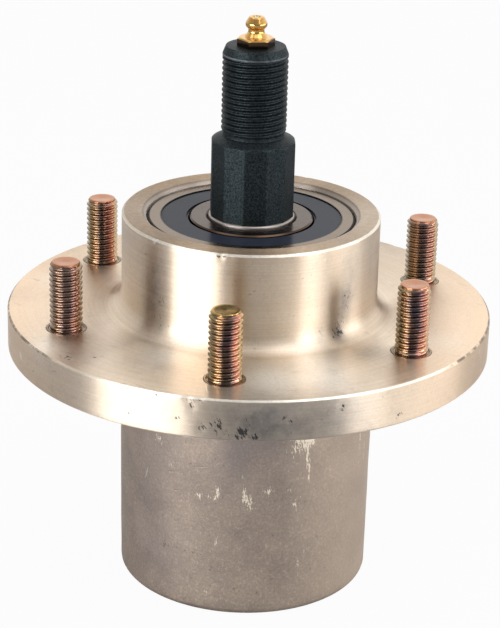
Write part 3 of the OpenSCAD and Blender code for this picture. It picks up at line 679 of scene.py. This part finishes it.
def threaded(radius, height, turn, major, pitch, low, high, depth_share):
    """Radius under a screw thread: the major radius less a depth, a share of the pitch, that follows
    a trapezoid along the helix, flat for an eighth of the pitch at the crest and a quarter of it at
    the root, with its corners eased. The thread fades in over its first turn."""
    phase = (height / pitch - turn / (2 * np.pi)) % 1
    off_crest = np.abs(phase - 0.5) * 2
    cut = np.clip((off_crest - 0.125) / 0.625, 0, 1)
    cut = cut * cut * (3 - 2 * cut)
    fading = np.clip((height - low) / pitch, 0, 1)
    thread = major - depth_share * pitch * cut * fading
    return np.where((height > low) & (height <= high), np.minimum(radius, thread), radius)


stud_line = section_points(stud_corners, closed=False)
stud_turn = 2 * np.pi * np.arange(stud_columns) / stud_columns
line_r, line_z = stud_line[:, :1], stud_line[:, 1:]
rib = rib_depth * np.where(np.arange(stud_columns) % 2, 1.0, -1.0)
ribbed = np.clip((stud_thread_low - line_z) / 0.3, 0, 1) * (line_z > rib_low) * (line_r > 5.3)
start_turn = np.random.default_rng(11).random(6)[:, None, None] * 2 * np.pi
stud_wall = threaded(
    line_r, line_z, stud_turn + start_turn, stud_r, stud_pitch, stud_thread_low, stud_top - 0.01, stud_depth
)
stud_wall = stud_wall + rib * ribbed
stud_x = stud_wall * np.cos(stud_turn) + stud_circle_r * np.cos(stud_angles)[:, None, None]
stud_y = stud_wall * np.sin(stud_turn) + stud_circle_r * np.sin(stud_angles)[:, None, None]
stud_z = np.broadcast_to(line_z, stud_x.shape)
studs = skin("threaded_studs", stud_x, stud_y, stud_z, closed=False, crease=60)

# Which way each point of a stud's wall looks, for a painted reflection that changes round the
# stud, and how gold rather than mauve that stud's plating is
plating_gold = np.array([1.0, 0.5, 0.3, 0.5, 0.55, 0.05])
stud_spots = places_of(studs.data.vertices, "co")
centres = stud_circle_r * np.stack([np.cos(stud_angles), np.sin(stud_angles)], -1)
nearest = np.argmin(np.linalg.norm(stud_spots[:, None, :2] - centres, axis=2), 1)
toward = np.column_stack([stud_spots[:, :2] - centres[nearest], plating_gold[nearest]])
looks = studs.data.attributes.new("looks", "FLOAT_VECTOR", "POINT")
looks.data.foreach_set("vector", toward.astype(np.float32).ravel())


def colour_band(tree, value, tones):
    """Colour that runs through tones, each a position from 0 to 1 and a colour."""
    made = add(tree, "ValToRGB", {0: value})
    band = made.color_ramp
    for _ in tones[2:]:
        band.elements.new(0.5)
    for element, (position, tone) in zip(band.elements, tones):
        element.position, element.color = position, (*tone, 1)
    return made.outputs[0]


yellow_zinc, tree, shader, place = new_finish("yellow_zinc", 1.0, 0.22)
height = split(tree, place)["Z"]
drift = noise(tree, place, 110.0, 3.0)
fine = noise(tree, place, 420.0, 4.0)
cloudy = maths(tree, "MULTIPLY_ADD", fine, 0.25, times(tree, drift, 0.75))
tint = colour_band(tree, cloudy, (
    (0.32, (0.18, 0.165, 0.10)), (0.41, (0.34, 0.26, 0.13)), (0.47, (0.46, 0.29, 0.155)),
    (0.53, (0.46, 0.245, 0.15)), (0.60, (0.31, 0.19, 0.155)), (0.68, (0.16, 0.145, 0.155)),
))
# Painted reflection round the stud: a wandering dark stripe, the dark front reflected, runs up
# the side that looks to the front, with lighter bands, the lamps reflected, at the sides
stripe_turn, wander = math.radians(6), 1.4
side = split(tree, add(tree, "Attribute", attribute_name="looks").outputs["Vector"])
turned = maths(tree, "ARCTAN2", side["X"], times(tree, side["Y"], -1.0))
drifting = noise(tree, place, 70.0, 3.0)
drifting = maths(tree, "MULTIPLY_ADD", drifting, wander, -wander / 2 - stripe_turn)
turned = ramp(tree, maths(tree, "ADD", turned, drifting), -math.pi, math.pi)
painted_reflection_round_stud = colour_band(tree, turned, (
    (0.0, (0.40, 0.24, 0.14)), (0.20, (0.34, 0.28, 0.14)), (0.32, (0.15, 0.135, 0.07)),
    (0.39, (0.42, 0.27, 0.13)), (0.44, (0.24, 0.15, 0.10)), (0.48, (0.03, 0.03, 0.04)),
    (0.54, (0.03, 0.028, 0.045)), (0.58, (0.28, 0.13, 0.12)), (0.63, (0.60, 0.27, 0.19)),
    (0.70, (0.50, 0.36, 0.19)), (0.81, (0.26, 0.23, 0.12)), (1.0, (0.40, 0.24, 0.14)),
))
goldness = side["Z"]
mauve = ramp(tree, goldness, 0.0, 0.6, 0.6, 0.0)
dull = ramp(tree, noise(tree, place, 800.0, 3.0), 0.55, 0.75)
top_tint = blend(tree, ramp(tree, goldness, 0.6, 1.0), (0.45, 0.19, 0.095), (0.50, 0.35, 0.12))
top = ramp(tree, height, (stud_top - 0.5) * MM, (stud_top - 0.3) * MM, 0.0, 0.85)
collar = ramp(tree, height, (stud_thread_low + 0.3) * MM, stud_thread_low * MM, 0.0, 0.5)
colour = layered(tree, tint, (
    (0.78, painted_reflection_round_stud),
    (mauve, (0.25, 0.175, 0.155)),
    (times(tree, dull, 0.45), (0.12, 0.085, 0.065)),
    (top, top_tint),
    (collar, (0.16, 0.12, 0.10)),
))
tree.links.new(colour, shader.inputs["Base Color"])
tree.links.new(ramp(tree, fine, 0.3, 0.7, 0.15, 0.27), shader.inputs["Roughness"])
bumped(tree, shader, fine, 0.02 * MM, 0.5)
studs.data.materials.append(yellow_zinc)
stands_for(studs, "housing", "stud_yellow_zinc", "mounting_studs")


# Bearings: two sealed ball bearings, ground rings with a polished groove, a black rubber-faced
# seal in each outward face, and inside them balls in a riveted ribbon cage of pressed steel.
def plain_metal(name, colour, roughness, wave=300.0, spread=0.18, lined=0.0):
    """A metal whose colour and gloss drift a little, with or without the lathe's fine lines."""
    material, tree, shader, place = new_finish(name, 1.0, roughness)
    drift = noise(tree, place, wave, 4.0)
    darker = tuple(part * (1 - spread) for part in colour)
    lighter = tuple(min(part * (1 + spread), 1) for part in colour)
    tree.links.new(blend(tree, drift, darker, lighter), shader.inputs["Base Color"])
    gloss = ramp(tree, drift, 0.3, 0.7, roughness * 0.8, roughness * 1.25)
    tree.links.new(gloss, shader.inputs["Roughness"])
    lines = placed(tree, lathe_lines, place, Pitch=3500.0)
    bumped(tree, shader, maths(tree, "MULTIPLY_ADD", lines, lined, drift), 0.008 * MM, 0.6)
    return material


def lay_over(material, share, tone):
    """Lays a tone over a finish's colour by a share."""
    base = material.node_tree.nodes["Principled BSDF"].inputs["Base Color"]
    under = base.links[0].from_socket
    material.node_tree.links.new(blend(material.node_tree, share, under, tone), base)


def gap_shade_line(material, first, last):
    """Darkens the finish between two distances from the axis, in millimetres: painted shade in the gap
    between parts, with the oil there.
    """
    tree = material.node_tree
    reach = off_axis(tree, add(tree, "TexCoord").outputs["Object"])
    fade = 0.12 * MM
    inside = ramp(tree, reach, first * MM - fade, first * MM)
    beyond = ramp(tree, reach, last * MM, last * MM + fade)
    lay_over(material, maths(tree, "SUBTRACT", inside, beyond), gap_shade_and_oil)


def dressed(node, material):
    """Gives a CAD node its finish and smooth shading within each of its faces."""
    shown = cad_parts[node]
    shown.data.shade_smooth()
    for slot in shown.material_slots:
        slot.material = material


# Painted shade in the gaps between the bearing's parts, with some oil
gap_shade_and_oil = (0.012, 0.011, 0.011)
outer_steel = plain_metal("outer_race_steel", (0.19, 0.14, 0.10), 0.26, lined=1.0)
# The inner ring is a darker copy of the race steel: painted shade, the black shaft reflected in it
shaded_inner_steel = plain_metal("inner_race_steel", (0.07, 0.045, 0.033), 0.24, lined=1.0)
gap_shade_line(outer_steel, 29.95, 32.0)
gap_shade_line(outer_steel, 26.0, 26.85)
gap_shade_line(shaded_inner_steel, 12.0, 13.15)
polished_balls = plain_metal("polished_balls", (0.62, 0.61, 0.60), 0.08, spread=0.05)
pressed_steel = plain_metal("pressed_steel", (0.42, 0.40, 0.36), 0.34)
rivet_steel = plain_metal("rivet_steel", (0.36, 0.35, 0.34), 0.4)
seal_face, tree, shader, place = new_finish("seal_face", 0.0, 0.22)
cloud = noise(tree, place, 160.0, 4.0)
lines = placed(tree, lathe_lines, place, Pitch=2600.0)
rubber = blend(tree, cloud, (0.014, 0.017, 0.028), (0.028, 0.034, 0.048))
tree.links.new(rubber, shader.inputs["Base Color"])
tree.links.new(ramp(tree, cloud, 0.3, 0.7, 0.16, 0.28), shader.inputs["Roughness"])
shader.inputs["Specular IOR Level"].default_value = 0.05
gap_shade_line(seal_face, 26.15, 27.2)
bumped(tree, shader, maths(tree, "ADD", lines, cloud), 0.008 * MM, 0.5)
bearing_finishes = {
    "outer_race": outer_steel, "inner_race": shaded_inner_steel, "balls": polished_balls, "seal": seal_face,
    "cage_top": pressed_steel, "cage_bottom": pressed_steel, "cage_rivets": rivet_steel,
}
for end in ("upper", "lower"):
    for part, finish in bearing_finishes.items():
        dressed(end + "_" + part, finish)


# Retaining ring and spacer: a stamped spring-steel ring under the lower bearing, and the sawn
# tube between the two inner rings. Both are dark, oiled steel.
ring_steel = plain_metal("ring_steel", (0.16, 0.155, 0.15), 0.35)
tube_steel = plain_metal("tube_steel", (0.34, 0.32, 0.30), 0.38, lined=1.5)
dressed("retaining_ring", ring_steel)
dressed("bearing_spacer", tube_steel)


# Shaft: one steel turning, from the spigot and collar for the blade up through the journal to a
# drive section with twelve milled flats and a 3/4-16 thread. Black oxide, ground at the journal.
shaft_low, shaft_top = 2, 164.0
journal_r, journal_chamfer, neck_r = 12.69, 0.4, 8.95
shaft_collar_r, shaft_collar_low, shaft_collar_high = 17.5, 9, 14
drive_half, drive_r, drive_flats = 12.03, 12.425, 12
drive_low, drive_high = 113.5, 137.6
drive_angle = math.radians(-5)
thread_r, thread_pitch, thread_depth = 9.5, 1.5875, 0.58
thread_low, thread_high, lead_z = 139.0, 161.0, 161.7
bolt_hole_r, bolt_hole_top = 5.7, 38
fitting_hole_r, fitting_hole_low = 3.2, 156
shaft_foot = [
    (0.01, bolt_hole_top, 0, 9.0), (bolt_hole_r, bolt_hole_top, 0, 6.0),
    (bolt_hole_r, shaft_low + 0.7, 0, 0.5), (bolt_hole_r + 0.7, shaft_low, 0, 2.0),
    (journal_r - 1, shaft_low, 0.1, 0.5), (journal_r, shaft_low + 1, 0.1, 2.0),
    (journal_r, shaft_collar_low, 0, 2.0), (shaft_collar_r, shaft_collar_low, 0.4, 1.5),
    (shaft_collar_r, shaft_collar_high, 0.3, 2.0), (journal_r, shaft_collar_high, 0, 9.0),
    (journal_r, drive_low - journal_chamfer, 0.1, 0.2), (journal_r - journal_chamfer, drive_low, 0, 0.2),
]
shaft_drive = [
    (drive_r, drive_low, 0, 2.6), (drive_r, drive_high - 1.5, 1.2, 0.4), (9.5, drive_high, 0.1, 0.3),
    (neck_r, drive_high + 0.05, 0.1, 0.3), (neck_r, 138.7, 0.1, 0.2),
]
shaft_head = [
    (thread_r, 139.3, 0.1, thread_pitch / 16), (thread_r, lead_z, 0.15, 0.11),
    (8.6, shaft_top, 0.12, 0.8), (fitting_hole_r + 0.3, shaft_top, 0, 0.3),
    (fitting_hole_r, shaft_top - 0.3, 0, 3.0), (fitting_hole_r, fitting_hole_low, 0, 2.0),
    (0.01, fitting_hole_low, 0, 1.0),
]


def flats(turn, count, half_width, first):
    """Distance from the axis to a prism with so many flats: half its width over the cosine of
    the angle off the nearest flat's middle."""
    pitch = 2 * np.pi / count
    off = (turn - first + pitch / 2) % pitch - pitch / 2
    return half_width / np.cos(off)


# Columns gather at the corners of the flats, so that each flat stays flat
corner_half = math.acos(drive_half / drive_r)
flat_pitch = 2 * math.pi / drive_flats
one_flat = np.concatenate([np.linspace(-corner_half, corner_half, 13), [flat_pitch / 2]])
flat_middles = drive_angle + flat_pitch * (np.arange(drive_flats) + 0.5)
shaft_turn = (flat_middles[:, None] + one_flat).ravel()
foot, drive, head = (section_points(part, closed=False) for part in (shaft_foot, shaft_drive, shaft_head))
drive_wall = np.minimum(drive[:, :1], flats(shaft_turn, drive_flats, drive_half, flat_middles[0]))
head_wall = threaded(
    head[:, :1], head[:, 1:], shaft_turn, thread_r, thread_pitch, thread_low, thread_high, thread_depth
)
foot_wall = np.broadcast_to(foot[:, :1], (len(foot), len(shaft_turn)))
shaft_wall = np.vstack([foot_wall, drive_wall, head_wall])
shaft_z = np.vstack([foot[:, 1:], drive[:, 1:], head[:, 1:]])
shaft = skin(
    "threaded_shaft", shaft_wall * np.cos(shaft_turn), shaft_wall * np.sin(shaft_turn),
    np.broadcast_to(shaft_z, shaft_wall.shape), closed=False, crease=60,
)

black_oxide, tree, shader, place = new_finish("black_oxide", 1.0, 0.36)
height = split(tree, place)["Z"]
lines = placed(tree, lathe_lines, place, Pitch=2400.0)
cloud = noise(tree, place, 130.0, 4.0)
grain = noise(tree, place, 2200.0, 3.0, 0.8)
below_drive = ramp(tree, height, (drive_low + 0.06) * MM, (drive_low - 0.02) * MM)
below_collar = ramp(tree, height, (shaft_collar_high + 0.3) * MM, (shaft_collar_high - 0.1) * MM)
ground = maths(tree, "SUBTRACT", below_drive, below_collar)
# The edge where the lead chamfer begins is lightened here and there: a painted highlight, as steel worn
# bare
from_edge = ramp(tree, height, (lead_z - 0.4) * MM, (lead_z - 0.2) * MM)
past_edge = ramp(tree, height, (lead_z + 0.05) * MM, (lead_z + 0.25) * MM)
lead_edge_highlight = maths(tree, "SUBTRACT", from_edge, past_edge)
lead_edge_highlight = times(tree, lead_edge_highlight, ramp(tree, cloud, 0.4, 0.62, 0.1, 0.5))
oxide = blend(tree, ramp(tree, grain, 0.4, 0.64), (0.005, 0.008, 0.009), (0.042, 0.056, 0.060))
colour = layered(tree, oxide, (
    (times(tree, cloud, 0.35), (0.036, 0.040, 0.046)),
    (ground, (0.32, 0.29, 0.27)),
    (lead_edge_highlight, (0.30, 0.32, 0.34)),
))
tree.links.new(colour, shader.inputs["Base Color"])
gloss = ramp(tree, cloud, 0.3, 0.7, 0.48, 0.6)
gloss = maths(tree, "MULTIPLY_ADD", ground, -0.14, gloss)
tree.links.new(gloss, shader.inputs["Roughness"])
bumped(tree, shader, maths(tree, "MULTIPLY_ADD", lines, 0.6, grain), 0.02 * MM, 0.7)
shaft.data.materials.append(black_oxide)
stands_for(shaft, "spindle", "shaft_black_oxide", "spindle_shaft")


# Grease fitting: a turned steel nipple with a hexagon, a flared neck and a round head, plated a
# bright yellow gold and screwed into the shaft's end. A spring holds a steel ball in its mouth.
hex_half, hex_turn = 4.7625, math.radians(14)
hex_low, hex_shoulder, hex_high = shaft_top, 166.0, 166.5
fitting_low, fitting_top, fitting_columns = 158, 172.4, 96
spring_floor, grease_bore_r = 161, 0.8
fitting_corners = [
    (grease_bore_r, fitting_low, 0, 1.0), (2.9, fitting_low, 0.1, 0.4),
    (3.15, fitting_low + 0.3, 0, 1.5), (3.15, hex_low, 0, 1.0), (5.6, hex_low, 0, 0.5),
    (5.6, hex_shoulder, 0.1, 0.2), (4.6, hex_high, 0.1, 0.5), (3.3, hex_high, 0.15, 0.3),
    (3.15, 166.8, 0.5, 0.2), (2.3, 168.0, 0.9, 0.3), (2.3, 168.9, 0.4, 0.2), (3.1, 169.75, 0.6, 0.2),
    (3.1, 170.6, 1.0, 0.2), (2.1, fitting_top, 0.35, 0.3), (1.25, fitting_top, 0.08, 0.2),
    (0.95, fitting_top - 0.3, 0, 0.2), (0.95, fitting_top - 0.5, 0, 0.3), (1.3, 171.6, 0, 2.0),
    (1.3, spring_floor, 0, 0.5), (grease_bore_r, spring_floor, 0, 1.0),
]
fitting_line = section_points(fitting_corners, closed=True)
fitting_r, fitting_z = fitting_line[:, :1], fitting_line[:, 1:]
fitting_turn = hex_turn + 2 * np.pi * np.arange(fitting_columns) / fitting_columns
in_hexagon = (fitting_z > hex_low - 0.001) & (fitting_z <= hex_high) & (fitting_r > 3.3)
hexagon = np.minimum(fitting_r, flats(fitting_turn, 6, hex_half, hex_turn + math.pi / 6))
fitting_wall = np.where(in_hexagon, hexagon, fitting_r)
fitting = skin(
    "grease_nipple", fitting_wall * np.cos(fitting_turn), fitting_wall * np.sin(fitting_turn),
    np.broadcast_to(fitting_z, fitting_wall.shape), closed=True,
)
gold_zinc = plain_metal("gold_zinc", (0.64, 0.38, 0.12), 0.15, wave=500.0, spread=0.14)
tree = gold_zinc.node_tree
height = split(tree, add(tree, "TexCoord").outputs["Object"])["Z"]
# Painted reflection: the hexagon's flats are darkened as if they reflected the dark front
painted_dark_flats = ramp(tree, height, (hex_shoulder + 0.05) * MM, (hex_shoulder - 0.05) * MM, 0.0, 0.94)
lay_over(gold_zinc, painted_dark_flats, (0.045, 0.03, 0.025))
fitting.data.materials.append(gold_zinc)
stands_for(fitting, "spindle", "fitting_gold_zinc", "grease_fitting")
dressed("grease_check_ball", polished_balls)
dressed("grease_check_spring", plain_metal("spring_wire", (0.45, 0.44, 0.42), 0.25))
